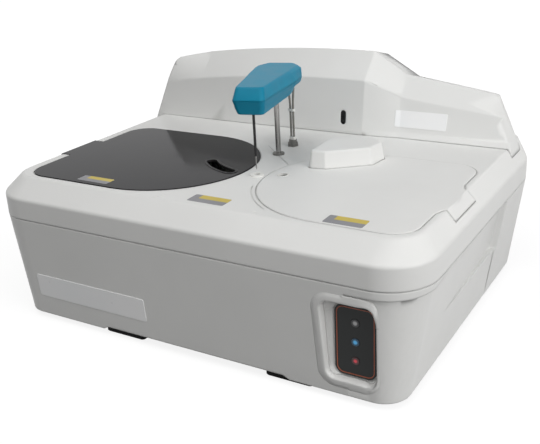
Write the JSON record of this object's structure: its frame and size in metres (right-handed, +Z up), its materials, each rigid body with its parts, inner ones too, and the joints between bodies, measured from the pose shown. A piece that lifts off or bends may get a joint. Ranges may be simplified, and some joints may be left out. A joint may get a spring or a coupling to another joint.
{
  "type": "benchtop chemistry analyzer",
  "caption": "Wide moulded laboratory bench analyzer with a rear hood, lift-off lids over turning reagent and reaction discs, and a swinging, lifting pipetting arm.",
  "frame": {"origin": "on the bench, at the centre of the outline seen from above", "axes": "+X to the operator's right, +Y to the rear, +Z up; the front faces -Y"},
  "size_m": [0.86, 0.644, 0.443],
  "materials": {
    "shell_plastic": "satin",
    "smoked_plastic": "gloss",
    "black_plastic": "satin",
    "white_plastic": "satin",
    "tube_plastic": "gloss",
    "trim_orange": "satin",
    "key_grey": "satin",
    "key_blue": "satin",
    "key_red": "satin",
    "rubber": "matte",
    "arm_roof": "satin",
    "arm_side": "satin",
    "chamber_black": "matte",
    "steel": "brushed",
    "aluminium": "satin",
    "grey_metal": "satin",
    "motor_metal": "satin",
    "board_green": "satin",
    "clear_glass": "clear",
    "cuvette_clear": "gloss"
  },
  "bodies": {
    "housing": {"base_shell": "shell_plastic", "bottom_tray": "grey_metal", "feet": "rubber", "top_cover": "shell_plastic", "hood": "shell_plastic", "hood_window": "black_plastic", "optics_cover": "shell_plastic", "photometer": "aluminium", "screw_caps": "black_plastic", "wash_well": "white_plastic", "shaft_bush": "steel", "tube_gland": "white_plastic", "gland_collar": "white_plastic", "reagent_chamber": "chamber_black", "reaction_chamber": "chamber_black", "reagent_motor": "motor_metal", "reaction_motor": "motor_metal", "lift_rail": "aluminium", "switch_panel": "black_plastic", "panel_trim": "trim_orange", "button_board": "board_green", "rear_panel": "grey_metal", "fan_frame": "black_plastic", "fan_guard": "steel", "power_inlet": "black_plastic", "rocker_bezel": "black_plastic", "hose_fittings": "white_plastic", "data_port": "black_plastic", "power_supply": "grey_metal", "main_board": "board_green", "syringe_pump": "motor_metal"},
    "reagent_cover": {"reagent_lid": "smoked_plastic", "slot_rim": "black_plastic"},
    "reaction_cover": {"reaction_lid": "shell_plastic", "port_ring": "black_plastic"},
    "reagent_disc": {"reagent_rotor": "chamber_black", "reagent_spindle": "steel", "bottle_in_use": "white_plastic", "reagent_bottles": "white_plastic", "sample_tubes": "clear_glass"},
    "reaction_disc": {"reaction_rotor": "chamber_black", "reaction_spindle": "steel", "cuvette_ring": "cuvette_clear"},
    "lift": {"lift_carriage": "aluminium", "swing_motor": "motor_metal", "arm_tubes": "tube_plastic", "tube_clip": "white_plastic", "tube_anchor": "aluminium"},
    "arm": {"arm_lower_cover": "arm_side", "arm_upper_cover": "arm_roof", "arm_chassis": "aluminium", "arm_shaft": "steel", "probe_holder": "aluminium", "probe_sleeve": "steel", "needle": "steel"},
    "upper_key": {"button_upper": "key_grey"},
    "middle_key": {"button_middle": "key_blue"},
    "lower_key": {"button_lower": "key_red"},
    "rocker": {"rocker": "black_plastic"},
    "fan": {"fan_rotor": "black_plastic"}
  },
  "joints": [
    {"name": "reagent_cover_lift", "type": "slide", "parent": "housing", "child": "reagent_cover", "axis": [0, 0, 1], "range_m": [0, 0.1]},
    {"name": "reaction_cover_lift", "type": "slide", "parent": "housing", "child": "reaction_cover", "axis": [0, 0, 1], "range_m": [0, 0.1]},
    {"name": "reagent_disc_turn", "type": "hinge", "parent": "housing", "child": "reagent_disc", "pos_m": [-0.168, -0.092, 0.2], "axis": [0, 0, 1], "continuous": true},
    {"name": "reaction_disc_turn", "type": "hinge", "parent": "housing", "child": "reaction_disc", "pos_m": [0.232, -0.092, 0.2], "axis": [0, 0, 1], "continuous": true},
    {"name": "arm_lift", "type": "slide", "parent": "housing", "child": "lift", "axis": [0, 0, 1], "range_m": [-0.05, 0]},
    {"name": "arm_swing", "type": "hinge", "parent": "lift", "child": "arm", "pos_m": [0.011, 0.0185, 0.3], "axis": [0, 0, 1], "range_deg": [-58.5, 20.8], "deforming": ["arm_tubes"]},
    {"name": "upper_key_press", "type": "slide", "parent": "housing", "child": "upper_key", "axis": [0, 1, 0], "range_m": [0, 0.0012], "stiffness_N_per_m": 700},
    {"name": "middle_key_press", "type": "slide", "parent": "housing", "child": "middle_key", "axis": [0, 1, 0], "range_m": [0, 0.0012], "stiffness_N_per_m": 700},
    {"name": "lower_key_press", "type": "slide", "parent": "housing", "child": "lower_key", "axis": [0, 1, 0], "range_m": [0, 0.0012], "stiffness_N_per_m": 700},
    {"name": "rocker_tilt", "type": "hinge", "parent": "housing", "child": "rocker", "pos_m": [0.138, 0.2925, 0.087], "axis": [1, 0, 0], "range_deg": [-12, 0]},
    {"name": "fan_spin", "type": "hinge", "parent": "housing", "child": "fan", "pos_m": [-0.17, 0.28, 0.107], "axis": [0, 1, 0], "continuous": true}
  ]
}
